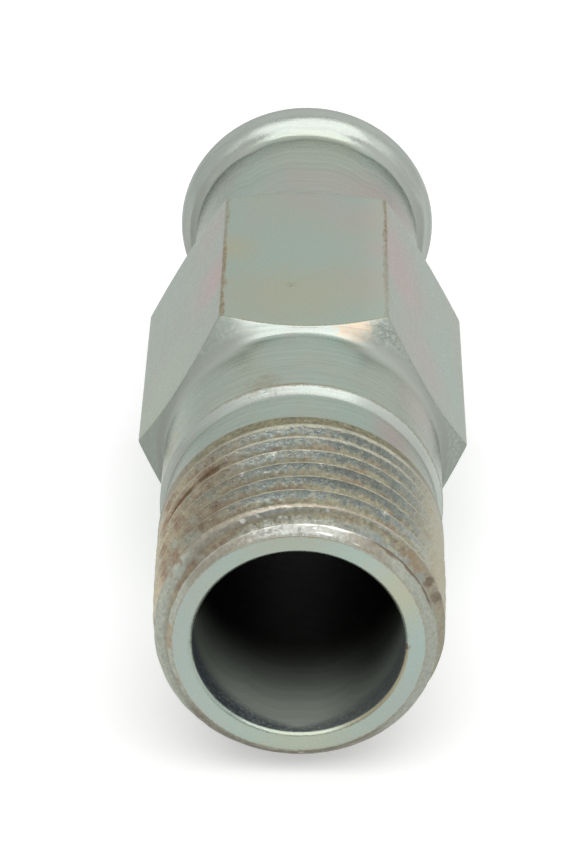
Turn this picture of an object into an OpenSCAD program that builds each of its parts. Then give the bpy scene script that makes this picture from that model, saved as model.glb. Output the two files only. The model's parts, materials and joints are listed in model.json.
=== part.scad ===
// Heater hose fitting: tapered pipe thread, wrench hexagon and beaded hose neck, turned from one hexagon bar.
// The origin is the centre of the bore on the threaded end face. The axis runs along +Y to the hose end,
// two flats of the hexagon face up and down, and the fitting lies on the lower one.

/* [Pipe thread] */
// Number of threads in one inch
threads_per_inch = 14; // [12:1:18]
// Diameter over the crests at the end face
thread_major_d = 20.75; // [20.4:0.05:21.1]
// Growth of the thread's diameter for each millimetre of length
thread_taper = 0.0625; // [0:0.0125:0.0625]
// Thread height as a share of the pitch
thread_height_ratio = 0.73; // [0.6:0.01:0.76]
// Diameter of the turned blank, which flattens the crests
crest_cap_d = 21.2; // [20.9:0.05:21.3]
// Length from the end face to the end of the crests
thread_length = 14.15; // [11:0.05:16]
// Length over which the last groove fades out
fade_length = 2.4; // [1:0.1:4]
// Length of the chamfer at the start of the thread
lead_length = 1.85; // [0.8:0.05:2.5]
// Outer diameter of the flat end face
face_d = 18.1; // [17.4:0.05:18.4]

/* [Land and shank] */
// Diameter of the plain land behind the thread
land_d = 20.5; // [20:0.05:20.7]
// Length of the plain land
land_length = 3.55; // [2:0.05:8]
// Length of the cone from the land up to the shank
step_length = 0.95; // [0.4:0.05:1.5]
// Diameter of the turned shank
shank_d = 21.34; // [20.9:0.02:21.9]
// Length of the turned shank
shank_length = 8.05; // [4:0.05:14]

/* [Hexagon] */
// Width across the flats
hex_across_flats = 22.22; // [22:0.02:27]
// Length of the hexagon with its chamfers
hex_length = 23.75; // [12:0.25:32]
// Slope of the front chamfer from the square plane, in degrees
hex_front_angle = 43; // [15:1:50]
// Slope of the rear chamfer from the square plane, in degrees
hex_rear_angle = 33; // [15:1:50]
// Depth of the rear chamfer's inner edge inside the flats
hex_rear_inset = 0.1; // [0:0.05:0.5]

/* [Hose end] */
// Diameter of the neck that the hose slides over
neck_d = 19.05; // [18:0.05:20.5]
// Length of the neck from the hexagon to the foot of the bead
neck_length = 14.4; // [8:0.1:24]
// Height of the bead above the neck
bead_height = 1.35; // [0.6:0.05:2]
// Radius of the bead's round section
bead_radius = 2.6; // [2.4:0.05:4]
// Depth of the rounded nose, from the top of the bead in to the flat end
nose_drop = 1.4; // [0.6:0.05:2]

/* [Bore] */
// Thinnest wall between the straight bore and the root of the thread or the neck
least_wall = 1.5; // [1.2:0.05:3]
// Width of the broken edge at each end of the bore
bore_edge = 0.25; // [0.1:0.05:0.4]

/* [Hidden] */

inch = 25.4;
pitch = inch / threads_per_inch;
face_r = face_d / 2;
land_r = land_d / 2;
shank_r = shank_d / 2;
neck_r = neck_d / 2;
bead_r = neck_r + bead_height;
end_r = bead_r - nose_drop;
cap_r = crest_cap_d / 2;
flat_r = hex_across_flats / 2;
hex_sides = 6;
corner_r = flat_r / cos(180 / hex_sides);

// Places along the axis, counted from the threaded end face. A 45 degree cone joins the thread to the land
land_z = thread_length + abs(cap_r - land_r);
step_z = land_z + land_length;
shank_z = step_z + step_length;
hex_z = shank_z + shank_length;
neck_z = hex_z + hex_length;
foot_z = neck_z + neck_length;

// Half the length of the bead's arc at a depth below its top
function bead_reach(depth) = sqrt(pow(bead_radius, 2) - pow(bead_radius - depth, 2));
bead_z = foot_z + bead_reach(bead_height);
end_z = bead_z + bead_reach(nose_drop);

// Overlap that lets joined shapes run into each other, and overshoot of the cutting shapes
joint_overlap = 0.1;
cut_over = 1;
revolve_fn = 128;

// The thread form has flanks at 30 degrees to the square plane. The cutting tool's tip is a little narrower
// than the flat that such flanks would leave, and a crest keeps a small share of the pitch as its flat
flank_angle = 30;
thread_height = thread_height_ratio * pitch;
root_r = thread_major_d / 2 - thread_height;
sharp_height = pitch / 2 / tan(flank_angle);
tool_tip_share = 0.8;
root_flat = pitch * (1 - thread_height / sharp_height) * tool_tip_share;
crest_flat_share = 0.02;
bore_r = min(root_r, neck_r) - least_wall;

// The thread's facets round the axis, and the turn at which its groove runs out through the end face
round_steps = 64;
start_turn = 0.88;

// Turned outline that bounds the crests: lead chamfer, taper and blank
function outline_r(z) = min(
    face_r + (thread_major_d / 2 + lead_length * thread_taper / 2 - face_r) * z / lead_length,
    thread_major_d / 2 + z * thread_taper / 2,
    cap_r
);

// Bottom of the groove, which rises out of the metal where the thread fades
function groove_r(z) = root_r + z * thread_taper / 2
    + max(0, z - thread_length + fade_length) * (cap_r - root_r) / fade_length;

// One groove is five strands: its two bottom corners, its two top corners and the middle of the crest
strand_count = 5;
function corner_offset(z) = min(
    root_flat / 2 + max(outline_r(z) - groove_r(z), crest_flat_share) * tan(flank_angle),
    pitch * (1 - crest_flat_share) / 2
);
function strand_offset(z, s) =
    s == 0 ? -corner_offset(z)
    : s == 1 ? -root_flat / 2
    : s == 2 ? root_flat / 2
    : s == 3 ? corner_offset(z)
    : pitch / 2;
first_turn = -2;
last_turn = ceil(thread_length / pitch) + 1;
strands = (last_turn - first_turn + 1) * strand_count;

// Place along the axis of one strand at one step round the thread, a right-hand helix
function groove_z(i, j) = (first_turn + start_turn + floor(j / strand_count) + i / round_steps) * pitch;
function strand_z(i, j) = groove_z(i, j) + strand_offset(groove_z(i, j), j % strand_count);
function strand_r(z, s) = s == 1 || s == 2 ? min(outline_r(z), groove_r(z)) : outline_r(z);

// The strands are held between two plain rings, at the end face and where the last groove has faded
function point_at(i, r, z) = [r * cos(360 * i / round_steps), r * sin(360 * i / round_steps), z];
function ring(r, z) = [for (i = [0:round_steps - 1]) point_at(i, r, z)];
least_step = 0.01;
function index_of(i, j) =
    i == round_steps ? index_of(0, j + strand_count)
    : strand_z(i, j) < least_step ? i
    : strand_z(i, j) > thread_length - least_step ? round_steps + i
    : 3 * round_steps + i * strands + j;
function quad(a, b, c, d) = [
    for (f = [[a, d, b], [b, d, c]]) if (f[0] != f[1] && f[1] != f[2] && f[2] != f[0]) f
];

// Helical thread, then a short cone that runs into the land below its surface
module threaded_end() {
    net = [
        for (i = [0:round_steps - 1], j = [0:strands - 1])
            let (z = strand_z(i, j)) point_at(i, strand_r(z, j % strand_count), z)
    ];
    flanks = [
        for (i = [0:round_steps - 1], j = [0:strands - 2 - strand_count])
            each quad(index_of(i, j), index_of(i + 1, j), index_of(i + 1, j + 1), index_of(i, j + 1))
    ];
    cone = [
        for (i = [0:round_steps - 1])
            let (a = round_steps + i, b = round_steps + (i + 1) % round_steps)
                each quad(a, b, b + round_steps, a + round_steps)
    ];
    near = [for (i = [0:round_steps - 1]) i];
    far = [for (i = [round_steps - 1:-1:0]) 2 * round_steps + i];
    polyhedron(
        points = concat(
            ring(face_r, 0),
            ring(cap_r, thread_length),
            ring(land_r - joint_overlap, land_z + joint_overlap),
            net
        ),
        faces = concat(flanks, cone, [near, far])
    );
}

// Land, step and shank, then the core of the hexagon, the neck and the bead
module turned_outline() {
    polygon([
        [0, thread_length + joint_overlap],
        [land_r, thread_length + joint_overlap],
        [land_r, step_z],
        [shank_r, shank_z],
        [shank_r, hex_z + joint_overlap],
        [neck_r, hex_z + joint_overlap],
        [neck_r, bead_z],
        [end_r, bead_z],
        [end_r, end_z],
        [0, end_z]
    ]);
    intersection() {
        translate([bead_r - bead_radius, bead_z]) circle(r = bead_radius, $fn = revolve_fn);
        translate([bore_r, foot_z - cut_over]) square([bead_r, end_z - foot_z + cut_over]);
    }
}

module hexagon() {
    rise = (corner_r + cut_over - shank_r) * tan(hex_front_angle);
    fall = (corner_r + cut_over - flat_r + hex_rear_inset) * tan(hex_rear_angle);
    intersection() {
        translate([0, 0, hex_z]) cylinder(h = hex_length, r = corner_r, $fn = hex_sides);
        rotate_extrude($fn = revolve_fn) polygon([
            [0, hex_z],
            [shank_r, hex_z],
            [corner_r + cut_over, hex_z + rise],
            [corner_r + cut_over, neck_z - fall],
            [flat_r - hex_rear_inset, neck_z],
            [0, neck_z]
        ]);
    }
}

module bore() {
    translate([0, 0, -cut_over]) cylinder(h = end_z + 2 * cut_over, r = bore_r, $fn = revolve_fn);
    for (side = [0, 1]) translate([0, 0, side * end_z]) mirror([0, 0, side])
        translate([0, 0, -cut_over])
            cylinder(
                h = bore_edge + cut_over,
                r1 = bore_r + bore_edge + cut_over,
                r2 = bore_r,
                $fn = revolve_fn
            );
}

module fitting_body() {
    color([0.66, 0.69, 0.66]) rotate([-90, 0, 0]) difference() {
        union() {
            threaded_end();
            rotate_extrude($fn = revolve_fn) turned_outline();
            hexagon();
        }
        bore();
    }
}

fitting_body();
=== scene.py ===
import itertools
import json
import math

import bpy
import numpy as np
from mathutils import Matrix, Vector


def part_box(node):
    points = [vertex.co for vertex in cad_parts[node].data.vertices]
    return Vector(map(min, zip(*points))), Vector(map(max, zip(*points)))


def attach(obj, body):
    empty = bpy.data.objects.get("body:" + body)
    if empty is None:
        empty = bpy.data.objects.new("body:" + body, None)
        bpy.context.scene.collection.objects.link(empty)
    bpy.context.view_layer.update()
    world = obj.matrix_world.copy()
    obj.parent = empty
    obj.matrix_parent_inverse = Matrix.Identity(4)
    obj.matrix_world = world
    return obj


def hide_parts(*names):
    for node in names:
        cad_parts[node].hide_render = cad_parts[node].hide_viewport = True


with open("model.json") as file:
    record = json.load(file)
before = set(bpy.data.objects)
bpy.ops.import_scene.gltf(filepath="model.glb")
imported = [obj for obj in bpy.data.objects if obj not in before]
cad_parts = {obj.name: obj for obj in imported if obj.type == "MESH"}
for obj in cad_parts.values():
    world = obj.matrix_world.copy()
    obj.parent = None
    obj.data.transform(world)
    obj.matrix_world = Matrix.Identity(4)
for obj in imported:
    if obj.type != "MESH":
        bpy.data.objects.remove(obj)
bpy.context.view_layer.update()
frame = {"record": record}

MM = 0.001

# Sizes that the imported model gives, in millimetres
low, high = (np.array(corner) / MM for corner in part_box("fitting_body"))
mounts = {m["name"]: m for m in frame["record"]["mounts"]}
END_Y = float(high[1])
FLAT_R = float(high[2])
CORNER_R = float(high[0])
BORE_R = mounts["bore"]["dims"]["r_mm"]
CAP_R = mounts["pipe_thread"]["dims"]["r_mm"]
THREAD_LENGTH = mounts["pipe_thread"]["dims"]["length_mm"]
NECK_R = mounts["hose_neck"]["dims"]["r_mm"]
NECK_LENGTH = mounts["hose_neck"]["dims"]["length_mm"]
HEX_LENGTH = mounts["wrench_hexagon"]["dims"]["length_mm"]
HEX_Y = mounts["wrench_hexagon"]["pos_m"][1] / MM - HEX_LENGTH / 2
NECK_Y = HEX_Y + HEX_LENGTH

# Pipe thread, in millimetres. The groove is cut between flanks at 30 degrees to the square plane
PITCH = 25.4 / 14
TAPER = 0.0625 / 2
FACE_R = 9.05
MAJOR_R = 10.375
ROOT_R = 9.0505
ROOT_HALF = 0.114
LEAD_LENGTH = 1.85
UNDER_LEAD = 1.5
UNDER_START = 0.2
UNDER_FULL = 0.6
FADE_LENGTH = 2.4
START_TURN = 0.88
FLANK = math.tan(math.radians(30))
CREST_LEAST = 0.036
EDGE_STEP = 0.01

# Land, shank, hexagon, bead and bore edges, in millimetres and degrees
LAND_R = 10.25
LAND_LENGTH = 3.55
STEP_LENGTH = 0.95
SHANK_R = 10.67
FRONT_SLOPE = math.tan(math.radians(43))
REAR_SLOPE = math.tan(math.radians(33))
REAR_INSET = 0.1
HEX_CORNER_SOFTNESS = 0.09
BEAD_RADIUS = 2.6
BEAD_HEIGHT = 1.35
NOSE_DROP = 1.4
BEAD_FILLET = 0.65
BORE_EDGE = 0.25

FLAT_COUNT = 6
ZONES = ("flat", "bore", "face", "chamfer")
COLUMN_STEP = 1.5
CORNER_COLUMNS = (0.3, 0.75)


def column_angles():
    """Angles round the axis, from +X towards -Z, with a few more beside each corner of the hexagon."""
    plain = np.arange(0, 360, COLUMN_STEP)
    corners = np.arange(FLAT_COUNT) * 360 / FLAT_COUNT
    close = [(corner + side * step) % 360 for corner in corners for side in (-1, 1) for step in CORNER_COLUMNS]
    return np.radians(np.unique(np.concatenate([plain, close])))


ANGLES = column_angles()
COLUMNS = len(ANGLES)
TURNS = ANGLES / (2 * math.pi)


def lattice_value(cells, seed):
    """A fixed random value from -1 to 1 for each whole-numbered point."""
    wave = np.sin(cells @ np.array([127.1, 311.7, 74.7]) + seed * 17.3) * 43758.5453
    return 2 * (wave - np.floor(wave)) - 1


def smooth_noise(points, size, seed):
    """Smooth noise from -1 to 1 at points in millimetres, with features of the given size."""
    scaled = points / size
    cell = np.floor(scaled)
    part = scaled - cell
    part = part * part * (3 - 2 * part)
    total = np.zeros(points.shape[:-1])
    for corner in itertools.product((0, 1), repeat=3):
        share = np.where(np.array(corner) == 1, part, 1 - part).prod(axis=-1)
        total += share * lattice_value(cell + np.array(corner), seed)
    return total


def place(radius, along):
    """Points in millimetres from radii and places along the axis, one for each column."""
    radius, along = np.broadcast_arrays(radius, along)
    return np.stack([radius * np.cos(ANGLES), along, -radius * np.sin(ANGLES)], axis=-1)


def thread_outline(y):
    """Radius that bounds the crests: lead chamfer, a little fuller on the underside, taper and turned blank."""
    share = y / LEAD_LENGTH
    inside = np.clip(share, 0, 1)
    under = np.clip((np.sin(ANGLES) + UNDER_START) / (UNDER_FULL + UNDER_START), 0, 1)
    fuller = under * (1 - (1 - inside) ** UNDER_LEAD - inside)
    chamfer = FACE_R + (MAJOR_R + LEAD_LENGTH * TAPER - FACE_R) * (share + fuller)
    return np.minimum(np.minimum(chamfer, MAJOR_R + y * TAPER), CAP_R)


def groove_floor(y):
    """Radius of the groove's bottom, which rises out of the metal where the thread fades."""
    fade = np.maximum(0, y - THREAD_LENGTH + FADE_LENGTH)
    return ROOT_R + y * TAPER + fade * (CAP_R - ROOT_R) / FADE_LENGTH


def strand_plan():
    """Strands of one groove in order along the axis: side, part of the form and share of that part."""
    half = [("root", 1.0), ("flank", 0.12), ("flank", 0.4), ("flank", 0.7), ("flank", 0.92), ("crest", 0.0)]
    before = [(-1, part, share) for part, share in [("crest", 0.5)] + half[::-1]]
    after = [(1, part, share) for part, share in half + [("crest", 0.5), ("crest", 1.0)]]
    return before + after


def thread_strands():
    """Points and groove depths of every strand, as arrays of strands by columns."""
    points, depths = [], []
    for turn in range(-2, math.ceil(THREAD_LENGTH / PITCH) + 2):
        middle = (turn + START_TURN + TURNS) * PITCH
        floor = groove_floor(middle)
        depth = np.maximum(thread_outline(middle) - floor, CREST_LEAST)
        corner = np.minimum(ROOT_HALF + depth * FLANK, PITCH / 2 - CREST_LEAST)
        for side, part, share in strand_plan():
            if part == "root":
                offset = np.full(COLUMNS, ROOT_HALF * share)
            elif part == "flank":
                offset = ROOT_HALF + share * (corner - ROOT_HALF)
            else:
                offset = corner + share * (PITCH / 2 - corner)
            y = middle + side * offset
            radius = thread_outline(y)
            if part != "crest":
                radius = np.minimum(radius, floor + (offset - ROOT_HALF) / FLANK)
            points.append(np.stack([radius, y], axis=-1))
            depths.append(np.clip((thread_outline(y) - radius) / (MAJOR_R - ROOT_R), 0, 1))
    return np.array(points), np.array(depths)


def worn_thread(radius, y, depth):
    """Radius of the thread with ragged crests, small dents and rough flanks."""
    spot = place(radius, y)
    ragged = np.clip(smooth_noise(spot, 0.7, 1), 0, 1) + 0.6 * np.clip(smooth_noise(spot, 0.35, 2), 0, 1)
    dents = np.clip(smooth_noise(spot * (1, 0.6, 1), 1.3, 3) - 0.55, 0, 1)
    crest = np.clip(1 - depth * 3.5, 0, 1)
    inside = np.clip(y / 0.8, 0, 1) * np.clip((THREAD_LENGTH - y) / 1.5, 0, 1)
    rough = 0.02 * smooth_noise(spot, 0.45, 4) * np.clip(depth * 4, 0, 1)
    return radius - inside * (crest * (0.045 * ragged + 0.10 * dents) - rough)


def angle_from_flat():
    """Angle of each column from the middle of its flat."""
    sector = 2 * math.pi / FLAT_COUNT
    return np.abs((ANGLES % sector) - sector / 2)


def hexagon_radius():
    """Radius of the hexagon with slightly soft corners, for each column."""
    sector = 2 * math.pi / FLAT_COUNT
    from_flat = angle_from_flat()
    near = FLAT_R / np.cos(from_flat)
    far = FLAT_R / np.cos(sector - from_flat)
    soft = HEX_CORNER_SOFTNESS
    return near - soft * np.log(1 + np.exp((near - far) / soft))


def bead_reach(depth):
    """Half the length of the bead's arc at a depth below its top."""
    return math.sqrt(BEAD_RADIUS ** 2 - (BEAD_RADIUS - depth) ** 2)


class Outline:
    """Rows of points that follow the turned outline, each with its zone."""

    def __init__(self):
        self.rows = []

    def add(self, radius, y, zone):
        self.rows.append((np.broadcast_to(radius, COLUMNS) + 0.0, np.broadcast_to(y, COLUMNS) + 0.0, zone))

    def line(self, start, end, count, zone):
        """Rows between two points, both left out."""
        for i in range(1, count + 1):
            share = i / (count + 1)
            self.add(start[0] + (end[0] - start[0]) * share, start[1] + (end[1] - start[1]) * share, zone)

    def corner(self, before, point, after, size, zones):
        """A rounded corner of the given size, from the zone before it to the zone after."""
        before, point, after = (np.array([np.broadcast_to(c, COLUMNS) for c in p]) for p in (before, point, after))
        start = point + (before - point) / np.linalg.norm(before - point, axis=0) * size
        end = point + (after - point) / np.linalg.norm(after - point, axis=0) * size
        steps = 4
        for i in range(steps + 1):
            t = i / steps
            spot = (1 - t) ** 2 * start + 2 * t * (1 - t) * point + t * t * end
            self.add(spot[0], spot[1], zones[0] if t < 0.5 else zones[1])


def outline_rows():
    """The outside from the end of the thread to the hose end, then back through the bore to the end face."""
    land_y = THREAD_LENGTH + CAP_R - LAND_R
    step_y = land_y + LAND_LENGTH
    shank_y = step_y + STEP_LENGTH
    foot_y = NECK_Y + NECK_LENGTH
    bead_r = NECK_R + BEAD_HEIGHT
    bead_y = foot_y + bead_reach(BEAD_HEIGHT)
    nose_r = bead_r - NOSE_DROP
    hexagon = hexagon_radius()
    p = [
        (CAP_R, THREAD_LENGTH),
        (LAND_R, land_y),
        (LAND_R, step_y),
        (SHANK_R, shank_y),
        (SHANK_R, HEX_Y),
        (hexagon, HEX_Y + (hexagon - SHANK_R) * FRONT_SLOPE),
        (hexagon, NECK_Y - (hexagon - FLAT_R + REAR_INSET) * REAR_SLOPE),
        (FLAT_R - REAR_INSET, NECK_Y),
        (NECK_R, NECK_Y),
        (NECK_R, foot_y),
    ]
    zones = ["turned", "turned", "turned", "turned", "chamfer", "flat", "chamfer", "square", "turned"]
    sizes = [0, 0.12, 0.15, 0.12, 0.45, 0.16, 0.12, 0.08, 0.2]
    counts = [1, 5, 2, 14, 4, 26, 2, 2, 16]
    out = Outline()
    out.add(*p[0], "turned")
    for i, zone in enumerate(zones):
        out.line(p[i], p[i + 1], counts[i], zone)
        if i + 1 < len(zones):
            out.corner(p[i], p[i + 1], p[i + 2], sizes[i + 1], (zone, zones[i + 1]))

    first = math.acos((NECK_R - bead_r + BEAD_RADIUS) / BEAD_RADIUS)
    first -= 2 * math.asin(BEAD_FILLET / 2 / BEAD_RADIUS)
    bead_start = (bead_r - BEAD_RADIUS + BEAD_RADIUS * math.cos(first), bead_y - BEAD_RADIUS * math.sin(first))
    out.corner(p[-2], p[-1], bead_start, BEAD_FILLET, ("turned", "turned"))
    last = math.acos((nose_r - bead_r + BEAD_RADIUS) / BEAD_RADIUS)
    steps = 30
    for i in range(1, steps):
        angle = -first + (first + last) * i / steps
        out.add(bead_r - BEAD_RADIUS + BEAD_RADIUS * math.cos(angle), bead_y + BEAD_RADIUS * math.sin(angle), "turned")

    rim = BORE_R + BORE_EDGE
    q = [(nose_r, END_Y), (rim, END_Y), (BORE_R, END_Y - BORE_EDGE), (BORE_R, BORE_EDGE), (rim, 0), (FACE_R - 0.06, 0)]
    out.corner((bead_r, bead_y), q[0], q[1], 0.12, ("turned", "face"))
    for i, (zone, count) in enumerate([("face", 3), ("bore", 0), ("bore", 48), ("bore", 0)]):
        out.line(q[i], q[i + 1], count, zone)
        out.corner(q[i], q[i + 1], q[i + 2], 0.1, (zone, "face" if i == 3 else "bore"))
    out.line(q[4], q[5], 4, "face")
    out.add(*q[5], "face")
    return out.rows


def soften_rows(radius, y, zone):
    """Radii with the slight waves of drawn bar on the flats and of turning elsewhere."""
    spot = place(radius, y)
    if zone == "flat":
        return radius - 0.012 * (1 + smooth_noise(spot * (1, 0.35, 1), 3.2, 5)) / 2
    if zone == "bore":
        return radius + 0.01 * smooth_noise(spot * (0.3, 1, 0.3), 1.4, 6)
    if zone == "turned":
        return radius - 0.006 * (1 + smooth_noise(spot * (0.3, 1, 0.3), 1.1, 7)) / 2
    return radius


def build_body():
    """The whole fitting as one closed mesh, with its zones and depths as point attributes."""
    face_ring = (np.full(COLUMNS, FACE_R), np.full(COLUMNS, 0.04))
    rows = outline_rows()
    strands, depths = thread_strands()
    strand_count = len(strand_plan())

    table = {name: [] for name in ("point", "depth", "along", "edge") + ZONES}
    from_corner = FLAT_R * (math.tan(math.pi / FLAT_COUNT) - np.tan(angle_from_flat()))

    def put(radius, y, depth, along, zone):
        table["point"].append(place(radius, y))
        table["depth"].append(np.broadcast_to(depth, COLUMNS))
        table["along"].append(np.broadcast_to(along, COLUMNS))
        table["edge"].append(from_corner)
        for name in ZONES:
            table[name].append(np.full(COLUMNS, 1.0 if zone == name else 0.0))

    put(face_ring[0], face_ring[1], 0, 0, "turned")
    travelled = np.full(COLUMNS, THREAD_LENGTH)
    previous = None
    for radius, y, zone in rows:
        if previous is not None:
            travelled = travelled + np.hypot(radius - previous[0], y - previous[1])
        previous = (radius, y)
        put(soften_rows(radius, y, zone), y, 0, travelled, zone)
    last_row = len(rows)
    for strand, depth in zip(strands, depths):
        radius, y = strand[:, 0], strand[:, 1]
        put(worn_thread(radius, y, depth), y, depth, y + depth, "turned")

    def row_index(row):
        return row * COLUMNS + np.arange(COLUMNS)

    strand_y = strands[:, :, 1]
    index = np.array([row_index(last_row + 1 + j) for j in range(len(strands))])
    index = np.where(strand_y < face_ring[1] + EDGE_STEP, row_index(0), index)
    index = np.where(strand_y > THREAD_LENGTH - EDGE_STEP, row_index(1), index)
    usable = len(strands) - strand_count
    wrapped = np.concatenate([index[:usable], index[strand_count:, :1]], axis=1)

    grids = [wrapped]
    ring_rows = [row_index(row) for row in range(1, last_row + 1)] + [row_index(0)]
    grids.append(np.array([np.append(row, row[0]) for row in ring_rows]))
    faces = []
    for grid in grids:
        corners = np.stack([grid[:-1, :-1], grid[1:, :-1], grid[1:, 1:], grid[:-1, 1:]], axis=-1)
        for quad in corners.reshape(-1, 4).tolist():
            kept = [v for i, v in enumerate(quad) if v != quad[i - 1]]
            if len(set(kept)) == len(kept) >= 3:
                faces.append(kept)

    points = np.concatenate(table["point"]) * MM
    used = np.unique(np.concatenate([np.array(f) for f in faces]))
    lookup = np.full(len(points), -1)
    lookup[used] = np.arange(len(used))
    mesh = bpy.data.meshes.new("threaded_hose_fitting")
    mesh.from_pydata(points[used].tolist(), [], [lookup[f].tolist() for f in faces])
    for name in ("depth", "along", "edge") + ZONES:
        attribute = mesh.attributes.new(name, "FLOAT", "POINT")
        attribute.data.foreach_set("value", np.concatenate(table[name])[used].astype(np.float32))
    mesh.validate()
    mesh.shade_smooth()
    mesh.set_sharp_from_angle(angle=math.radians(50))
    body = bpy.data.objects.new("threaded_hose_fitting", mesh)
    bpy.context.scene.collection.objects.link(body)
    return body


class Shader:
    """A material's node tree, with one short call for each kind of node."""

    def __init__(self, name):
        self.material = bpy.data.materials.new(name)
        self.material.use_nodes = True
        self.tree = self.material.node_tree
        self.tree.nodes.clear()
        coordinates = self.tree.nodes.new("ShaderNodeTexCoord").outputs["Object"]
        self.position = self.stretch(coordinates, (1 / MM, 1 / MM, 1 / MM))
        self.axes = self.split(self.position)

    def connect(self, socket, value):
        if isinstance(value, bpy.types.NodeSocket):
            self.tree.links.new(value, socket)
        elif isinstance(value, tuple) and len(value) == 3 and socket.type == "RGBA":
            socket.default_value = (*value, 1)
        else:
            socket.default_value = value

    def split(self, vector):
        node = self.tree.nodes.new("ShaderNodeSeparateXYZ")
        self.connect(node.inputs[0], vector)
        return node.outputs

    def join(self, x, y, z):
        node = self.tree.nodes.new("ShaderNodeCombineXYZ")
        for socket, value in zip(node.inputs, (x, y, z)):
            self.connect(socket, value)
        return node.outputs[0]

    def math(self, operation, a, b=0.0, clamp=False):
        node = self.tree.nodes.new("ShaderNodeMath")
        node.operation = operation
        node.use_clamp = clamp
        self.connect(node.inputs[0], a)
        self.connect(node.inputs[1], b)
        return node.outputs[0]

    def times(self, a, b):
        return self.math("MULTIPLY", a, b)

    def stretch(self, vector, factors):
        node = self.tree.nodes.new("ShaderNodeVectorMath")
        node.operation = "MULTIPLY"
        self.connect(node.inputs[0], vector)
        node.inputs[1].default_value = factors
        return node.outputs[0]

    def shade(self, colour, factor):
        """A colour made lighter or darker by a factor."""
        node = self.tree.nodes.new("ShaderNodeVectorMath")
        node.operation = "SCALE"
        self.connect(node.inputs[0], colour)
        self.connect(node.inputs["Scale"], factor)
        return node.outputs[0]

    def noise(self, vector, size, detail=3.0, roughness=0.5):
        """Noise from 0 to 1 with features of the given size in millimetres."""
        node = self.tree.nodes.new("ShaderNodeTexNoise")
        self.connect(node.inputs["Vector"], vector)
        node.inputs["Scale"].default_value = 1 / size
        node.inputs["Detail"].default_value = detail
        node.inputs["Roughness"].default_value = roughness
        return node.outputs["Fac"]

    def span(self, value, low, high):
        """0 below low and 1 above high, or the other way round, with a smooth step between them."""
        return self.ramp(value, low, high, 0.0, 1.0, "SMOOTHSTEP")

    def ramp(self, value, low, high, to_low, to_high, kind="LINEAR"):
        """The value carried over from one range to another, held at its ends."""
        node = self.tree.nodes.new("ShaderNodeMapRange")
        node.interpolation_type = kind
        self.connect(node.inputs["Value"], value)
        node.inputs["From Min"].default_value = low
        node.inputs["From Max"].default_value = high
        node.inputs["To Min"].default_value = to_low
        node.inputs["To Max"].default_value = to_high
        return node.outputs["Result"]

    def mix(self, share, first, second, blend="MIX"):
        node = self.tree.nodes.new("ShaderNodeMix")
        node.data_type = "RGBA"
        node.blend_type = blend
        self.connect(node.inputs["Factor"], share)
        self.connect(node.inputs["A"], first)
        self.connect(node.inputs["B"], second)
        return node.outputs["Result"]

    def attribute(self, name):
        node = self.tree.nodes.new("ShaderNodeAttribute")
        node.attribute_name = name
        return node.outputs["Fac"]

    def line(self, distance, width, ragged):
        """1 on an irregular line of the given width in millimetres, 0 away from it."""
        uneven = self.ramp(ragged, 0.3, 0.7, -0.6 * width, 0.6 * width)
        return self.span(self.math("ADD", self.math("ABSOLUTE", distance), uneven), width, 0.4 * width)

    def spot(self, centre, size, ragged):
        """1 in a ragged spot round a place, 0 away from it, in millimetres."""
        node = self.tree.nodes.new("ShaderNodeVectorMath")
        node.operation = "DISTANCE"
        self.connect(node.inputs[0], self.position)
        node.inputs[1].default_value = centre
        uneven = self.ramp(ragged, 0.3, 0.7, -0.5 * size, 0.5 * size)
        return self.span(self.math("ADD", node.outputs["Value"], uneven), size, 0.3 * size)

    def glow(self, centre, size):
        """1 at a place, fading to 0 at the given distance in millimetres."""
        node = self.tree.nodes.new("ShaderNodeVectorMath")
        node.operation = "DISTANCE"
        self.connect(node.inputs[0], self.position)
        node.inputs[1].default_value = centre
        return self.span(node.outputs["Value"], size, 0.0)

    def bump(self, height, distance, normal=None):
        """A normal from a height, whose full range is the distance in millimetres."""
        node = self.tree.nodes.new("ShaderNodeBump")
        node.inputs["Distance"].default_value = distance * MM
        self.connect(node.inputs["Height"], height)
        if normal is not None:
            self.connect(node.inputs["Normal"], normal)
        return node.outputs["Normal"]


# Colours of the plating and of the wear, with some painted light and shade, as linear values
ZINC_GREEN = (0.371, 0.407, 0.342)
ZINC_MINT = (0.340, 0.425, 0.372)
ZINC_BLUE = (0.335, 0.405, 0.405)
ZINC_PINK = (0.425, 0.372, 0.342)
ZINC_ROSE = (0.480, 0.350, 0.325)
ZINC_YELLOW = (0.395, 0.405, 0.305)
ZINC_LEAF = (0.380, 0.445, 0.345)
PAINTED_HIGHLIGHT_GREY = (0.400, 0.420, 0.402)
CREST_CREAM = (0.55, 0.54, 0.43)
CREST_PEACH = (0.61, 0.50, 0.37)
CREST_BEIGE = (0.36, 0.34, 0.26)
GROOVE_SLATE = (0.27, 0.31, 0.30)
GROOVE_GREEN = (0.40, 0.41, 0.34)
GROOVE_DARK = (0.21, 0.225, 0.175)
GROOVE_OLIVE = (0.42, 0.395, 0.28)
GROOVE_BROWN = (0.36, 0.285, 0.205)
SIDE_BEIGE = (0.39, 0.385, 0.31)
LEFT_BROWN = (0.25, 0.18, 0.125)
LEFT_OLIVE = (0.38, 0.335, 0.235)
LEFT_GREY = (0.33, 0.335, 0.27)
RIDGE_HIGHLIGHT = (0.78, 0.77, 0.68)
LAST_OLIVE = (0.165, 0.155, 0.09)
EDGE_BROWN = (0.21, 0.155, 0.08)
EDGE_TAN = (0.42, 0.30, 0.18)
EDGE_HIGHLIGHT_PALE = (0.56, 0.53, 0.43)
PAINTED_CORNER_LIGHT = (0.37, 0.395, 0.35)
CHAMFER_GREY = (0.225, 0.262, 0.225)
CHAMFER_DARK = (0.14, 0.15, 0.13)
CHAMFER_PEACH = (0.46, 0.36, 0.26)
LEAD_BEIGE = (0.30, 0.29, 0.235)
LEAD_GREEN = (0.40, 0.43, 0.365)
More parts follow.
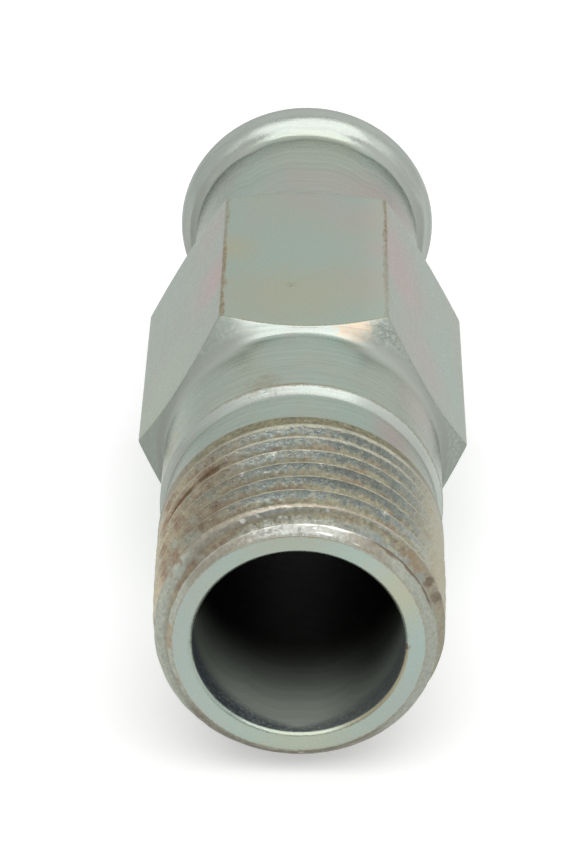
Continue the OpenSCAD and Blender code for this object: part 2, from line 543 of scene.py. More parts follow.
LEAD_METAL = (0.31, 0.325, 0.30)
NICK_AND_GLINT_WHITE = (0.80, 0.78, 0.72)
RUST = (0.27, 0.18, 0.12)
DARK_BROWN = (0.14, 0.085, 0.045)
BORE_GREY = (0.38, 0.42, 0.37)
BORE_BLUE = (0.046, 0.056, 0.074)
BORE_SHADE_BLACK = (0.006, 0.006, 0.004)
RIM_GOLD = (0.30, 0.22, 0.10)
GRAZING_TINT = (0.7, 0.7, 0.7)

# Soft tints of the plating: colour, share, centre and radius in millimetres
TINTS = [
    (ZINC_MINT, 0.6, (-3.7, 43.5, 11.1), 8.0),
    (ZINC_PINK, 0.5, (0.5, 49.5, 11.1), 5.0),
    (ZINC_PINK, 0.5, (4.6, 46.0, 11.1), 5.0),
    (ZINC_PINK, 0.45, (5.6, 35.0, 11.1), 5.0),
    (ZINC_YELLOW, 0.9, (-6.0, 40.5, 11.1), 4.0),
    (ZINC_PINK, 0.6, (6.2, 40.5, 11.1), 3.0),
    (ZINC_YELLOW, 0.8, (-0.8, 32.5, 11.1), 8.0),
    (ZINC_PINK, 1.0, (-7.0, 38.5, 10.1), 5.5),
    (ZINC_PINK, 0.6, (-7.4, 46.5, 9.4), 5.0),
    (ZINC_YELLOW, 0.5, (-10.8, 33.0, 4.5), 9.0),
    (ZINC_LEAF, 0.8, (-11.2, 31.0, 3.5), 7.0),
    (ZINC_PINK, 1.0, (7.4, 43.0, 9.4), 8.0),
    (ZINC_PINK, 0.6, (9.5, 32.0, 6.0), 6.0),
    (ZINC_ROSE, 0.8, (-7.0, 36.5, 10.3), 3.5),
    (ZINC_ROSE, 0.6, (7.6, 39.0, 9.2), 5.0),
    (ZINC_PINK, 0.9, (6.7, 16.2, 7.7), 3.2),
    (ZINC_PINK, 0.5, (9.0, 23.5, 5.8), 5.0),
    (ZINC_MINT, 0.7, (-8.5, 24.0, 6.5), 6.0),
    (ZINC_YELLOW, 0.8, (-10.0, 21.0, 3.5), 4.0),
    (ZINC_PINK, 1.0, (7.0, 56.0, 6.5), 8.0),
    (ZINC_PINK, 0.5, (0.0, 56.0, 9.5), 6.0),
    (ZINC_YELLOW, 0.9, (7.2, 0.0, 4.4), 4.2),
    (ZINC_YELLOW, 0.5, (0.0, 0.0, -8.5), 5.5),
]
# Stains and rust on the thread: colour, share, centre and radius in millimetres
STAINS = [
    (EDGE_TAN, 0.6, (7.8, 2.0, 6.2), 0.8),
    (EDGE_TAN, 0.5, (8.5, 2.05, 5.2), 0.6),
    (DARK_BROWN, 0.65, (9.1, 2.1, 4.1), 0.65),
    (DARK_BROWN, 0.55, (9.75, 2.2, 2.75), 0.6),
    (RUST, 0.6, (7.0, 10.1, 8.1), 0.6),
    (EDGE_TAN, 0.75, (-9.3, 0.3, 1.1), 0.7),
    (EDGE_TAN, 0.75, (-9.35, 0.3, 0.0), 0.7),
    (RUST, 0.6, (-8.85, 0.4, -3.2), 0.7),
    (RUST, 0.7, (-8.5, 1.7, 5.8), 0.45),
    (RUST, 0.6, (-9.0, 1.6, 4.7), 0.4),
]
# Bright nicks in the crests, bare metal that is also painted white as glints: centre and radius in millimetres
NICKS_AND_GLINTS = [((-4.2, 7.37, 9.7), 0.25), ((6.0, 4.04, 8.6), 0.3), ((-2.0, 9.25, 10.4), 0.3), ((1.4, 7.53, 10.5), 0.25)]

# Places along the axis, at the top, of the last whole crest, the first one and the ridge behind the end face,
# and of the groove that holds a dark brown line on the left
LAST_CREST_Y = 12.93
FIRST_CREST_Y = 2.05
FIRST_RIDGE_Y = 0.733
RIDGE_LEAN = 0.194
BROWN_GROOVE_Y = 10.84
# Place along the axis of the foot of the bead
BEAD_FOOT_Y = NECK_Y + NECK_LENGTH
# Place along the outline of the shank's front edge
SHANK_EDGE = THREAD_LENGTH + math.hypot(CAP_R - LAND_R, CAP_R - LAND_R) + LAND_LENGTH
SHANK_EDGE += math.hypot(STEP_LENGTH, SHANK_R - LAND_R)


def plated_steel():
    """Clear zinc plating with faint colours over turned and drawn steel, with dirt and rust in the thread, and painted
    light and shade in places.
    """
    s = Shader("zinc_plated_steel")
    x, y, z = s.axes
    names = ("flat", "bore", "face", "chamfer", "depth", "along", "edge")
    flat, bore, face, chamfer, depth, along, edge = (s.attribute(name) for name in names)
    across = s.math("ABSOLUTE", x)
    radius = s.math("SQRT", s.math("ADD", s.times(x, x), s.times(z, z)))
    outside = s.math("SUBTRACT", 1.0, bore)
    round_part = s.math("SUBTRACT", 1.0, flat)
    not_face = s.math("SUBTRACT", 1.0, face)
    # Distance round the axis from the top, and place along it with the helix taken off
    angle = s.math("ARCTAN2", x, z)
    round_way = s.times(angle, MAJOR_R)
    helix = s.math("SUBTRACT", y, s.times(angle, PITCH / (2 * math.pi)))

    fine = s.noise(s.position, 0.17, 2, 0.6)
    ragged = s.noise(s.position, 0.30, 3, 0.65)
    mottle = s.noise(s.position, 0.55, 4, 0.6)
    blotch = s.noise(s.stretch(s.position, (1.0, 0.6, 1.0)), 1.9, 4, 0.55)
    cloud = s.noise(s.stretch(s.position, (1.0, 0.6, 1.0)), 3.6, 2, 0.45)
    broad = s.noise(s.stretch(s.position, (1.0, 0.5, 1.0)), 6.0, 3, 0.5)
    rings = s.noise(s.join(s.times(along, 1.6), s.times(x, 0.012), s.times(z, 0.012)), 1.0, 4, 0.7)
    streaks = s.noise(s.join(s.times(along, 5.0), s.times(x, 0.3), s.times(z, 0.3)), 1.0, 3, 0.6)
    drawn = s.noise(s.stretch(s.position, (1.0, 0.12, 1.0)), 0.4, 4, 0.65)
    edge_noise = s.noise(s.stretch(s.position, (0.7, 0.2, 0.7)), 0.5, 3, 0.6)
    trail = s.noise(s.join(helix, s.times(round_way, 0.25), 0.0), 0.5, 4, 0.6)
    trail_patch = s.noise(s.join(helix, s.times(round_way, 0.4), 7.0), 0.8, 3, 0.6)

    # The plating: green and mint clouds with soft tints
    colour = s.mix(s.span(broad, 0.32, 0.68), ZINC_GREEN, ZINC_MINT)
    colour = s.mix(s.times(s.span(cloud, 0.52, 0.90), s.times(not_face, 0.5)), colour, ZINC_PINK)
    colour = s.mix(s.times(s.times(face, s.span(across, 2.5, 8.0)), 0.4), colour, ZINC_BLUE)
    upper = s.times(flat, s.span(z, FLAT_R - 0.30, FLAT_R - 0.10))
    not_upper = s.math("SUBTRACT", 1.0, upper)
    for tint, share, centre, size in TINTS:
        where = upper if centre[2] > FLAT_R - 0.10 else not_upper
        colour = s.mix(s.times(s.times(s.glow(centre, size), where), share), colour, tint)
    colour = s.mix(s.times(s.span(mottle, 0.50, 0.68), 0.3), colour, ZINC_YELLOW)
    land = s.times(s.span(y, 14.3, 14.7), s.span(y, 18.1, 17.9))
    step = s.times(s.span(y, 17.9, 18.1), s.span(y, 19.1, 18.9))
    # Painted highlight: the step cone, the chamfers and the bead's top, where the highlights fall, are painted a
    # lighter, more neutral grey
    painted_highlight_zones = s.math("MAXIMUM", s.math("MAXIMUM", step, chamfer), s.span(y, 65.0, 65.6))
    colour = s.mix(s.times(painted_highlight_zones, s.times(outside, 0.6)), colour, PAINTED_HIGHLIGHT_GREY)
    # Painted light: the right side is a little lighter than the left, besides a fine random grain
    tone = s.times(s.ramp(fine, 0.2, 0.8, 0.96, 1.04), s.ramp(x, -10.0, 10.0, 0.965, 1.035))
    # Painted shade and painted light: each amount below darkens the plating, or lightens it where negative, on parts of
    # the face, chamfers, land, bead, step, shank and upper flat, by how the light falls there
    painted_shade_and_light = s.math("ADD", s.times(face, s.ramp(z, -8.5, 8.5, -0.04, 0.07)), s.times(chamfer, 0.06))
    painted_shade_and_light = s.math("ADD", painted_shade_and_light, s.times(land, s.ramp(across, 1.0, 7.0, 0.0, 0.06)))
    painted_shade_and_light = s.math("ADD", painted_shade_and_light, s.times(face, s.ramp(x, 0.0, 8.0, 0.0, 0.06)))
    bead = s.times(s.span(y, BEAD_FOOT_Y - 0.1, BEAD_FOOT_Y + 0.5), outside)
    painted_shade_and_light = s.math("ADD", painted_shade_and_light, s.times(bead, s.ramp(s.math("ABSOLUTE", angle), 0.3, 0.9, 0.08, 0.12)))
    flank = s.times(bead, s.times(s.span(y, 65.6, 64.6), s.span(x, -1.5, -5.0)))
    painted_shade_and_light = s.math("ADD", painted_shade_and_light, s.times(flank, 0.18))
    painted_shade_and_light = s.math("ADD", painted_shade_and_light, s.times(s.times(s.span(y, 66.4, 67.2), outside), -0.14))
    painted_shade_and_light = s.math("ADD", painted_shade_and_light, s.times(bead, s.ramp(angle, 0.3, 0.9, 0.0, -0.07)))
    painted_shade_and_light = s.math("ADD", painted_shade_and_light, s.times(chamfer, s.ramp(x, -6.0, -9.0, 0.0, 0.15)))
    painted_shade_and_light = s.math("ADD", painted_shade_and_light, s.times(step, s.ramp(x, -4.0, 3.0, -0.10, 0.02)))
    painted_shade_and_light = s.math("ADD", painted_shade_and_light, s.times(step, s.ramp(x, 5.0, 7.0, 0.0, -0.16)))
    shank_side = s.times(s.times(s.span(y, 18.9, 19.1), s.span(y, HEX_Y + 0.5, HEX_Y)), s.span(x, -8.5, -10.0))
    painted_shade_and_light = s.math("ADD", painted_shade_and_light, s.times(shank_side, -0.12))
    painted_shade_and_light = s.math("ADD", painted_shade_and_light, s.times(upper, s.ramp(x, 4.0, 6.0, 0.0, -0.07)))
    painted_shade_and_light = s.math("ADD", painted_shade_and_light, s.times(s.times(face, s.span(x, 0.0, 6.0)), s.ramp(z, -6.0, 6.0, 0.07, -0.10)))
    painted_shade_and_light = s.math("ADD", painted_shade_and_light, s.times(step, s.ramp(x, -5.5, -7.5, 0.0, 0.16)))
    tone = s.times(tone, s.math("SUBTRACT", 1.0, painted_shade_and_light))
    ring_tone = s.math("ADD", s.ramp(rings, 0.2, 0.8, -0.12, 0.12), s.ramp(streaks, 0.2, 0.8, -0.09, 0.09))
    neck_rings = s.noise(s.join(s.times(along, 1.1), s.times(x, 0.007), s.times(z, 0.007)), 1.0, 2, 0.5)
    on_neck = s.times(s.span(y, 50.5, 51.5), s.span(y, BEAD_FOOT_Y, BEAD_FOOT_Y - 1.0))
    ring_tone = s.math("ADD", ring_tone, s.times(on_neck, s.ramp(neck_rings, 0.35, 0.65, -0.06, 0.06)))
    ring_share = s.times(s.times(round_part, not_face), s.ramp(y, 50.5, 51.5, 1.0, 0.8))
    tone = s.times(tone, s.math("ADD", 1.0, s.times(ring_tone, ring_share)))
    colour = s.shade(colour, tone)

    speck = s.times(s.spot((-1.1, 34.2, 11.1), 0.55, ragged), s.ramp(fine, 0.40, 0.60, 0.0, 0.45))
    colour = s.mix(speck, colour, EDGE_BROWN)

    # The hexagon's front chamfer is rough and grey towards the corners
    low_chamfer = s.times(chamfer, s.span(across, 4.2, 6.0))
    grey = s.times(low_chamfer, s.span(s.math("ADD", ragged, s.times(blotch, 0.6)), 0.62, 0.84))
    colour = s.mix(s.times(low_chamfer, s.ramp(ragged, 0.35, 0.65, 0.15, 0.55)), colour, CHAMFER_GREY)
    colour = s.mix(s.times(grey, 0.5), colour, CHAMFER_GREY)
    peach = s.times(chamfer, s.spot((3.9, 27.8, 10.7), 1.9, ragged))
    colour = s.mix(s.times(peach, 0.8), colour, CHAMFER_PEACH)
    dark_patch = s.times(chamfer, s.glow((5.9, 28.0, 10.0), 1.7))
    colour = s.mix(s.times(dark_patch, s.ramp(ragged, 0.36, 0.64, 0.0, 0.65)), colour, CHAMFER_DARK)

    # Painted light: pale, matt inner corners at the foot of the hexagon and of the bead, lighter to the right, which
    # cover the dark reflection in the fillets, and a thin painted highlight line just above the bead's foot
    painted_corner_light = s.times(s.span(y, HEX_Y - 2.0, HEX_Y - 0.5), s.span(y, HEX_Y + 0.9, HEX_Y + 0.3))
    painted_corner_light = s.math("MAXIMUM", painted_corner_light, s.line(s.math("SUBTRACT", y, BEAD_FOOT_Y - 0.1), 0.6, cloud))
    painted_corner_light = s.times(s.times(painted_corner_light, s.span(across, 2.8, 6.0)), s.times(outside, round_part))
    foot_line = s.line(s.math("SUBTRACT", y, BEAD_FOOT_Y + 0.30), 0.16, fine)
    painted_corner_light = s.math("MAXIMUM", painted_corner_light, s.times(s.times(foot_line, s.span(across, 2.5, 4.5)), outside))
    colour = s.mix(s.times(painted_corner_light, 0.8), colour, s.shade(PAINTED_CORNER_LIGHT, s.ramp(x, 1.0, 5.0, 1.0, 1.15)))

    # Brown lines along the sharp edges, with a painted highlight line outside those of the upper flat, where the
    # rounded corners catch the light
    right = s.span(x, -0.1, 0.1)
    fading = s.math("ADD", s.times(right, s.ramp(y, 33.0, 44.0, 0.35, 0.95)),
                    s.times(s.math("SUBTRACT", 1.0, right), s.ramp(y, 51.0, 38.0, 0.35, 1.0)))
    top_line = s.times(s.times(flat, s.line(edge, 0.30, edge_noise)), s.times(upper, fading))
    painted_edge_highlight = s.times(s.times(flat, s.line(edge, 0.26, edge_noise)), s.math("SUBTRACT", s.span(z, 8.0, 9.0), upper))
    colour = s.mix(s.times(painted_edge_highlight, 0.6), colour, EDGE_HIGHLIGHT_PALE)
    behind_cone = s.math("SUBTRACT", s.math("SUBTRACT", y, HEX_Y), s.times(s.math("SUBTRACT", radius, SHANK_R), FRONT_SLOPE))
    front_line = s.times(s.times(flat, s.line(behind_cone, 0.2, ragged)), s.span(z, 4.0, 7.0))
    shank_edge = s.times(round_part, s.line(s.math("SUBTRACT", along, SHANK_EDGE), 0.20, ragged))
    shank_edge = s.times(shank_edge, s.times(s.span(x, -8.5, -6.0), s.ramp(cloud, 0.35, 0.65, 0.45, 1.0)))
    shank_stain = s.spot((-2.9, 19.7, 10.25), 1.9, ragged)
    face_line = s.times(s.line(s.math("SUBTRACT", radius, FACE_R), 0.13, ragged), s.times(outside, s.span(y, 0.4, 0.2)))
    face_line = s.times(face_line, 0.65)
    edges = s.math("MAXIMUM", top_line, s.times(front_line, 0.5))
    edges = s.math("MAXIMUM", edges, s.times(shank_edge, 0.8))
    edges = s.math("MAXIMUM", edges, s.times(shank_stain, 0.4))
    edges = s.math("MAXIMUM", edges, face_line, clamp=True)
    brown = s.mix(s.span(y, 1.0, 0.5), EDGE_BROWN, EDGE_TAN)
    colour = s.mix(s.times(edges, s.ramp(mottle, 0.3, 0.6, 0.45, 1.0)), colour, brown)

    # The thread: cream crests, slate below them that is partly a darker passivation and partly painted shade, and olive
    # dirt in the grooves
    thread_end = s.math("ADD", helix, s.ramp(ragged, 0.3, 0.7, -0.14, 0.14))
    in_thread = s.times(s.times(s.span(thread_end, 14.75, 14.4), outside), not_face)
    left = s.times(s.span(x, -2.3, -6.8), s.span(z, 0.5, 4.0))
    side = s.span(across, 7.2, 9.8)
    first = s.span(helix, FIRST_CREST_Y + 0.15, FIRST_CREST_Y - 0.05)
    varied = s.math("ADD", depth, s.ramp(mottle, 0.3, 0.7, -0.17, 0.17))
    # Slate on the flanks below the crests: partly the darker passivation of the plating and partly painted shade,
    # lighter on the left and at the first turns, darker on the right
    slate = s.mix(s.span(ragged, 0.42, 0.64), GROOVE_SLATE, GROOVE_GREEN)
    slate = s.shade(slate, s.times(s.ramp(helix, 2.5, 5.0, 1.3, 1.0), s.ramp(x, -2.0, 2.5, 1.28, 1.02)))
    slate = s.mix(s.times(s.times(s.span(x, 1.0, 4.0), s.span(helix, 4.0, 6.0)), 0.22), slate, GROOVE_DARK)
    side_colour = s.mix(s.times(s.span(trail, 0.40, 0.62), 0.6), SIDE_BEIGE, LEFT_OLIVE)
    slate = s.mix(s.times(side, 0.9), slate, s.shade(side_colour, s.ramp(x, -6.0, 6.0, 1.2, 1.05)))
    dirty = s.times(s.span(varied, 0.22, 0.48), s.math("SUBTRACT", 1.0, first))
    first_dirty = s.times(s.span(varied, 0.03, 0.10), s.span(varied, 0.62, 0.36))
    dirty = s.math("ADD", dirty, s.times(first_dirty, first))
    dirty = s.times(dirty, s.math("SUBTRACT", 1.0, s.times(side, 0.6)))
    olive = s.mix(s.span(blotch, 0.48, 0.68), GROOVE_OLIVE, GROOVE_BROWN)
    olive = s.shade(olive, s.times(s.ramp(ragged, 0.3, 0.7, 0.65, 1.35), s.ramp(x, -2.0, 2.5, 0.68, 1.0)))
    peach = s.math("MAXIMUM", s.times(s.span(mottle, 0.58, 0.72), 0.8), s.times(first, 0.9))
    crest_height = s.math("ADD", depth, s.ramp(ragged, 0.3, 0.7, -0.04, 0.04))
    crest = s.shade(s.mix(peach, CREST_CREAM, CREST_PEACH), s.ramp(mottle, 0.3, 0.7, 0.75, 1.15))
    behind_line = s.times(s.span(helix, FIRST_CREST_Y - 0.14, FIRST_CREST_Y - 0.02), s.span(helix, 2.6, 2.4))
    crest = s.mix(s.times(behind_line, 0.85), crest, s.shade(CREST_BEIGE, 0.95))
    crest = s.shade(crest, s.math("SUBTRACT", 1.0, s.times(first, s.ramp(x, -3.0, 1.5, 0.28, 0.14))))
    plain_crest = s.times(s.math("MAXIMUM", s.times(side, 0.8), s.times(left, 0.75)), s.ramp(first, 0.0, 1.0, 1.0, 0.25))
    crest = s.mix(plain_crest, crest, CREST_BEIGE)
    thread = s.mix(dirty, slate, olive)
    worn = s.mix(s.span(trail, 0.38, 0.62), LEFT_BROWN, LEFT_OLIVE)
    worn = s.mix(s.span(trail_patch, 0.50, 0.68), worn, LEFT_GREY)
    thread = s.mix(s.times(left, 0.92), thread, s.shade(worn, s.times(s.ramp(ragged, 0.3, 0.7, 0.85, 1.15), s.ramp(z, 6.0, 1.0, 1.0, 1.25))))
    # Painted highlight: a light band deep in the first groove near the top, which is also made matt
    painted_ridge_highlight = s.times(s.times(first, s.span(varied, 0.42, 0.70)), s.span(across, 5.0, 1.5))
    thread = s.mix(painted_ridge_highlight, thread, s.shade(RIDGE_HIGHLIGHT, s.ramp(ragged, 0.3, 0.7, 0.55, 1.0)))
    crest_share = s.times(s.span(crest_height, 0.035, 0.0), s.ramp(s.times(left, trail_patch), 0.30, 0.55, 1.0, 0.1))
    crest_share = s.times(crest_share, s.ramp(x, 6.5, 9.0, 1.0, 0.35))
    thread = s.mix(crest_share, thread, crest)
    brown_groove = s.times(s.line(s.math("SUBTRACT", helix, BROWN_GROOVE_Y), 0.22, trail), s.span(depth, 0.12, 0.25))
    brown_groove = s.times(brown_groove, s.times(s.span(x, -5.4, -6.4), s.span(x, -9.9, -9.2)))
    thread = s.mix(s.times(brown_groove, 0.9), thread, DARK_BROWN)
    last_part = s.times(s.span(helix, LAST_CREST_Y + 0.05, LAST_CREST_Y + 0.3), s.span(mottle, 0.20, 0.40))
    last_part = s.times(last_part, s.math("SUBTRACT", 1.0, s.times(side, 0.5)))
    thread = s.mix(last_part, thread, s.shade(LAST_OLIVE, s.ramp(ragged, 0.3, 0.7, 0.5, 1.7)))
    dirty = s.math("MAXIMUM", s.math("MAXIMUM", dirty, last_part), s.times(painted_ridge_highlight, 1.3))
    dirty = s.math("MAXIMUM", dirty, s.times(s.span(helix, 2.4, 2.2), s.span(across, 2.0, 5.0)))
    colour = s.mix(in_thread, colour, thread)

    # The lead chamfer: worn bright at the top, beige beside that and green on the sides, with a painted highlight along
    # the ridge
    lead = s.times(s.times(s.span(y, 2.0, 1.5), in_thread), s.span(depth, 0.35, 0.2))
    top_lead = s.times(s.span(across, 4.6, 2.2), s.span(z, 0.0, 1.0))
    side_lead = s.math("MAXIMUM", s.span(x, 5.2, 7.2), s.span(x, -7.2, -8.4))
    lead_colour = s.mix(side_lead, LEAD_BEIGE, s.shade(LEAD_GREEN, s.ramp(x, -8.5, -6.5, 1.18, 1.0)))
    lead_colour = s.mix(top_lead, lead_colour, LEAD_METAL)
    colour = s.mix(s.times(lead, 0.9), colour, s.shade(lead_colour, s.ramp(ragged, 0.3, 0.7, 0.8, 1.2)))
    # Bright nicks on the lead chamfer and in the crests, bare metal that is also painted white as glints, and a painted
    # highlight line along the ridge
    nick_noise = s.noise(s.stretch(s.position, (0.8, 5.5, 0.8)), 1.0, 3, 0.6)
    nicks_and_glints = s.times(s.times(lead, s.span(across, 6.5, 4.0)), s.span(nick_noise, 0.60, 0.70))
    from_ridge = s.math("SUBTRACT", s.math("SUBTRACT", y, FIRST_RIDGE_Y), s.times(angle, RIDGE_LEAN))
    ridge = s.times(s.line(from_ridge, 0.15, trail), s.times(s.span(x, -7.8, -6.6), s.span(x, 5.4, 3.8)))
    ridge = s.times(ridge, s.ramp(s.math("ADD", trail_patch, s.times(x, 0.03)), 0.34, 0.56, 0.2, 0.75))
    nicks_and_glints = s.math("MAXIMUM", s.times(nicks_and_glints, 0.8), s.times(ridge, in_thread))
    for centre, size in NICKS_AND_GLINTS:
        nicks_and_glints = s.math("MAXIMUM", nicks_and_glints, s.times(s.spot(centre, size, fine), s.span(depth, 0.2, 0.1)))
    colour = s.mix(nicks_and_glints, colour, NICK_AND_GLINT_WHITE)
    # Dark brown lines along the ridge, on the right and on the left
    right_ridge_line = s.times(s.line(s.math("ADD", from_ridge, 0.04), 0.20, trail), s.span(x, 4.4, 5.8))
    left_ridge_line = s.times(s.line(s.math("ADD", from_ridge, -0.15), 0.22, trail), s.span(x, -6.4, -7.4))
    dark_ridge_lines = s.times(s.math("MAXIMUM", right_ridge_line, left_ridge_line), s.times(in_thread, s.span(z, 2.0, 3.6)))
    colour = s.mix(s.times(dark_ridge_lines, 0.8), colour, DARK_BROWN)

    # Stains and rust on the thread
    stained = s.times(in_thread, 0.0)
    for tint, share, centre, size in STAINS:
        stain = s.times(s.times(s.spot(centre, size, mottle), in_thread), share)
        colour = s.mix(stain, colour, s.shade(tint, s.ramp(fine, 0.3, 0.7, 0.8, 1.2)))
        stained = s.math("MAXIMUM", stained, stain)
    speckle = s.times(s.times(s.span(trail, 0.66, 0.74), s.times(left, 0.6)), in_thread)
    colour = s.mix(speckle, colour, RUST)
    rust = s.math("MAXIMUM", stained, speckle)

    # The bore: matt, with painted shade that darkens it further in and on the sides, and a blue-black band inside the
    # rim that is deeper on the sides
    mouth = s.math("MINIMUM", y, s.math("SUBTRACT", END_Y, y))
    band_depth = s.math("ADD", 1.2, s.times(across, 0.38))
    rim_band = s.times(s.span(s.math("DIVIDE", mouth, band_depth), 1.0, 0.35), s.ramp(ragged, 0.32, 0.52, 0.45, 1.0))
    inner = s.shade(BORE_GREY, s.ramp(rings, 0.2, 0.8, 0.8, 1.2))
    # Painted shade: darker further into the bore
    inner = s.mix(s.span(mouth, 3.0, 12.5), inner, BORE_SHADE_BLACK)
    # Painted shade on the sides of the bore, which on the right is weaker near the mouth and stronger further in
    aside = s.math("ABSOLUTE", s.math("ADD", x, 1.4))
    right_more = s.times(s.ramp(x, 0.0, 5.0, 0.0, 1.0), s.ramp(mouth, 3.0, 7.0, -0.18, 0.28))
    painted_side_shade = s.times(s.span(aside, 2.5, 7.2), s.math("ADD", s.ramp(mouth, 3.0, 9.0, 0.60, 0.40), right_more))
    inner = s.mix(painted_side_shade, inner, BORE_SHADE_BLACK)
    inner = s.mix(s.times(rim_band, s.ramp(x, -5.0, 5.0, 0.95, 0.62)), inner, BORE_BLUE)
    past_edge = s.times(bore, s.span(mouth, BORE_EDGE * 0.6, BORE_EDGE * 1.3))
    gold = s.times(s.times(bore, s.math("SUBTRACT", 1.0, past_edge)), s.times(s.span(x, 2.0, 4.5), s.span(z, 0.6, -0.6)))
    colour = s.mix(s.times(gold, 0.6), colour, RIM_GOLD)
    colour = s.mix(s.times(s.spot((7.6, 0.1, -0.1), 0.35, fine), 0.8), colour, DARK_BROWN)
    colour = s.mix(past_edge, colour, inner)

    matt = s.math("MAXIMUM", s.times(rust, 0.8), s.times(s.times(dirty, in_thread), 0.7))
    matt = s.math("MAXIMUM", matt, s.times(past_edge, 0.8))
    matt = s.math("MAXIMUM", matt, s.times(edges, 0.7))
    matt = s.math("MAXIMUM", matt, s.times(painted_corner_light, 0.9))
    matt_lead = s.math("SUBTRACT", s.times(lead, s.math("SUBTRACT", 1.0, s.times(top_lead, 0.8))), nicks_and_glints, clamp=True)
    matt = s.math("MAXIMUM", matt, s.times(matt_lead, 0.6))
    roughness = s.math("ADD", s.ramp(mottle, 0.3, 0.7, 0.24, 0.32), s.times(matt, 0.3))
    roughness = s.math("ADD", roughness, s.times(low_chamfer, 0.12))

    ring_height = s.times(s.math("ADD", rings, s.times(streaks, 0.35)), round_part)
    normal = s.bump(s.math("ADD", ring_height, s.times(drawn, flat)), 0.02)
    pits = s.noise(s.position, 0.35, 5, 0.7)
    rough_part = s.math("ADD", in_thread, s.math("ADD", s.times(low_chamfer, 0.6), s.ramp(face, 0.0, 1.0, 0.08, 0.03)))
    normal = s.bump(s.times(rough_part, pits), 0.05, normal)

    shader = s.tree.nodes.new("ShaderNodeBsdfPrincipled")
    s.connect(shader.inputs["Base Color"], colour)
    s.connect(shader.inputs["Metallic"], s.math("SUBTRACT", 1.0, matt, clamp=True))
    s.connect(shader.inputs["Roughness"], roughness)
    s.connect(shader.inputs["Specular Tint"], GRAZING_TINT)
    s.connect(shader.inputs["Normal"], normal)
    output = s.tree.nodes.new("ShaderNodeOutputMaterial")
    s.tree.links.new(shader.outputs[0], output.inputs["Surface"])
    return s.material


def seen_directly(tree):
    """1 for rays from the camera, reflections and glass, 0 for the others."""
    path = tree.nodes.new("ShaderNodeLightPath")
    total = path.outputs["Is Camera Ray"]
    for name in ("Is Glossy Ray", "Is Transmission Ray"):
        add = tree.nodes.new("ShaderNodeMath")
        add.operation = "MAXIMUM"
        tree.links.new(total, add.inputs[0])
        tree.links.new(path.outputs[name], add.inputs[1])
        total = add.outputs[0]
    return total


FLOOR_HALF = 3.0
FLOOR_WHITE = 0.72
FLOOR_LIFT = 0.44


def add_floor():
    """A white floor under the lower flat that keeps the shadow."""
    z = float(low[2]) * MM
    mesh = bpy.data.meshes.new("floor")
    corners = [(-FLOOR_HALF, -FLOOR_HALF, z), (FLOOR_HALF, -FLOOR_HALF, z), (FLOOR_HALF, FLOOR_HALF, z), (-FLOOR_HALF, FLOOR_HALF, z)]
    mesh.from_pydata(corners, [], [(0, 1, 2, 3)])
    floor = bpy.data.objects.new("floor", mesh)
    bpy.context.scene.collection.objects.link(floor)
    material = bpy.data.materials.new("floor_white")
    material.use_nodes = True
    tree = material.node_tree
    tree.nodes.clear()
    diffuse = tree.nodes.new("ShaderNodeBsdfDiffuse")
    diffuse.inputs["Color"].default_value = (FLOOR_WHITE, FLOOR_WHITE, FLOOR_WHITE, 1)
    glow = tree.nodes.new("ShaderNodeEmission")
    glow.inputs["Color"].default_value = (FLOOR_LIFT, FLOOR_LIFT, FLOOR_LIFT, 1)
    tree.links.new(seen_directly(tree), glow.inputs["Strength"])
    both = tree.nodes.new("ShaderNodeAddShader")
    output = tree.nodes.new("ShaderNodeOutputMaterial")
    tree.links.new(diffuse.outputs[0], both.inputs[0])
    tree.links.new(glow.outputs[0], both.inputs[1])
    tree.links.new(both.outputs[0], output.inputs["Surface"])
    mesh.materials.append(material)


LAMP_SIDE = (0.05, -0.27, 1.0)
LAMP_DISTANCE = 0.7
LAMP_SIZE = (1.06, 0.9)
LAMP_LEVEL = 1.6
WING_DISTANCE = 0.72
WING_SIZE = (2.5, 0.9)
WING_LEVEL = 0.45
WORLD_LEVEL = 0.3
DARK_SIDE = Vector((0.0, -0.97, 0.24))
DARK_LEVEL = 0.3
DARK_EDGE = (0.42, 0.92)
CEILING_LEVEL = 0.4
CEILING_EDGE = (0.68, 0.90)


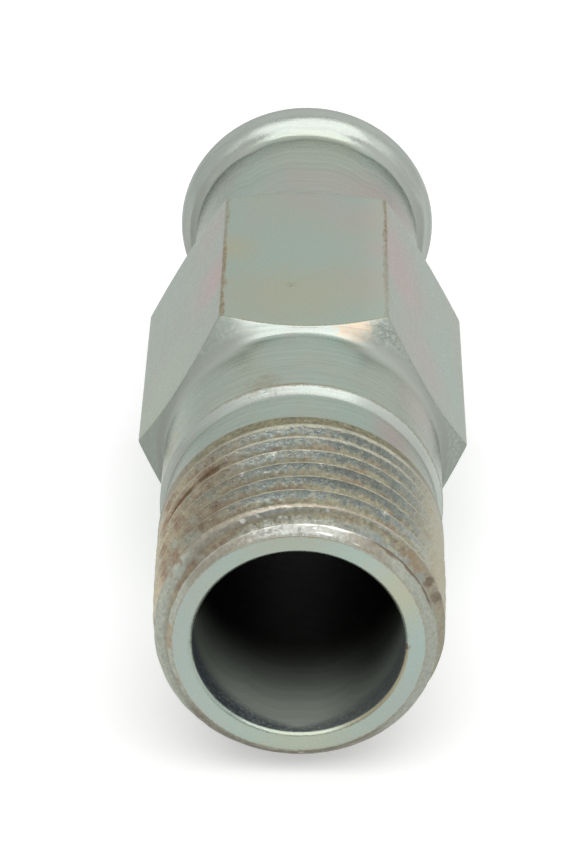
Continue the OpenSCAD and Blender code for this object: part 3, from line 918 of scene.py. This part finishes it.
def add_world():
    """A studio that is white for the camera and in reflections, and unlit on the side where the camera stands."""
    world = bpy.data.worlds.new("studio")
    bpy.context.scene.world = world
    world.use_nodes = True
    tree = world.node_tree
    tree.nodes.clear()
    direction = tree.nodes.new("ShaderNodeTexCoord")
    total = None
    sectors = [(DARK_SIDE, DARK_EDGE, DARK_LEVEL), (Vector(LAMP_SIDE).normalized(), CEILING_EDGE, CEILING_LEVEL)]
    for side, edge, dim in sectors:
        facing = tree.nodes.new("ShaderNodeVectorMath")
        facing.operation = "DOT_PRODUCT"
        facing.inputs[1].default_value = side
        tree.links.new(direction.outputs["Generated"], facing.inputs[0])
        unlit = tree.nodes.new("ShaderNodeMapRange")
        unlit.interpolation_type = "SMOOTHSTEP"
        unlit.inputs["From Min"].default_value, unlit.inputs["From Max"].default_value = edge
        unlit.inputs["To Min"].default_value = 1.0
        unlit.inputs["To Max"].default_value = dim
        tree.links.new(facing.outputs["Value"], unlit.inputs["Value"])
        if total is None:
            total = unlit.outputs["Result"]
        else:
            both = tree.nodes.new("ShaderNodeMath")
            both.operation = "MULTIPLY"
            tree.links.new(total, both.inputs[0])
            tree.links.new(unlit.outputs["Result"], both.inputs[1])
            total = both.outputs[0]
    path = tree.nodes.new("ShaderNodeLightPath")
    shown = tree.nodes.new("ShaderNodeMath")
    shown.operation = "MAXIMUM"
    tree.links.new(path.outputs["Is Camera Ray"], shown.inputs[0])
    tree.links.new(total, shown.inputs[1])
    level = tree.nodes.new("ShaderNodeMapRange")
    tree.links.new(seen_directly(tree), level.inputs["Value"])
    level.inputs["To Min"].default_value = WORLD_LEVEL
    level.inputs["To Max"].default_value = 1.0
    strength = tree.nodes.new("ShaderNodeMath")
    strength.operation = "MULTIPLY"
    tree.links.new(level.outputs["Result"], strength.inputs[0])
    tree.links.new(shown.outputs[0], strength.inputs[1])
    background = tree.nodes.new("ShaderNodeBackground")
    background.inputs["Color"].default_value = (1, 1, 1, 1)
    tree.links.new(strength.outputs[0], background.inputs["Strength"])
    output = tree.nodes.new("ShaderNodeOutputWorld")
    tree.links.new(background.outputs[0], output.inputs["Surface"])


def add_lamp(name, direction, distance, size, level):
    """A soft lamp of the given width and depth that points at the middle of the fitting."""
    data = bpy.data.lights.new(name, "AREA")
    data.shape = "RECTANGLE"
    data.size, data.size_y = size
    data.energy = level * math.pi * size[0] * size[1]
    lamp = bpy.data.objects.new(name, data)
    towards = Vector(direction).normalized()
    lamp.location = Vector((0, END_Y * MM / 2, 0)) + towards * distance
    lamp.rotation_euler = towards.to_track_quat("Z", "Y").to_euler()
    bpy.context.scene.collection.objects.link(lamp)


# Camera, from a fit of the outline in the 584 x 850 photograph
PHOTO_WIDTH = 584
PHOTO_HEIGHT = 850
FOCAL_PIXELS = 3605.4
CENTRE_PIXEL = (302.16, 468.65)
LOOK_AT = Vector((0, 0.025, 0))
CAMERA_DISTANCE = 0.2766
ELEVATION = math.radians(29.928)
AZIMUTH = math.radians(-0.259)
ROLL = math.radians(-0.601)
SENSOR = 36.0


def add_camera():
    """The camera that took the photograph, with its slight roll and offset frame."""
    forward = Vector((
        math.sin(AZIMUTH) * math.cos(ELEVATION),
        math.cos(AZIMUTH) * math.cos(ELEVATION),
        -math.sin(ELEVATION),
    ))
    right = forward.cross(Vector((0, 0, 1))).normalized()
    down = forward.cross(right)
    tilted = right * math.cos(ROLL) + down * math.sin(ROLL)
    up = -(down * math.cos(ROLL) - right * math.sin(ROLL))
    turn = Matrix((tilted, up, -forward)).transposed().to_4x4()
    data = bpy.data.cameras.new("camera")
    data.sensor_width = SENSOR
    data.lens = FOCAL_PIXELS * SENSOR / PHOTO_HEIGHT
    data.shift_x = (PHOTO_WIDTH / 2 - CENTRE_PIXEL[0]) / PHOTO_HEIGHT
    data.shift_y = (CENTRE_PIXEL[1] - PHOTO_HEIGHT / 2) / PHOTO_HEIGHT
    data.clip_start = 0.01
    camera = bpy.data.objects.new("camera", data)
    camera.matrix_world = Matrix.Translation(LOOK_AT - forward * CAMERA_DISTANCE) @ turn
    bpy.context.scene.collection.objects.link(camera)
    bpy.context.scene.camera = camera


body = build_body()
body.data.materials.append(plated_steel())
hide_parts("fitting_body")
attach(body, "root")

add_floor()
add_world()
add_lamp("overhead", LAMP_SIDE, LAMP_DISTANCE, LAMP_SIZE, LAMP_LEVEL)
add_lamp("overhead_wings", LAMP_SIDE, WING_DISTANCE, WING_SIZE, WING_LEVEL)
add_camera()
bpy.context.scene.view_settings.view_transform = "Standard"
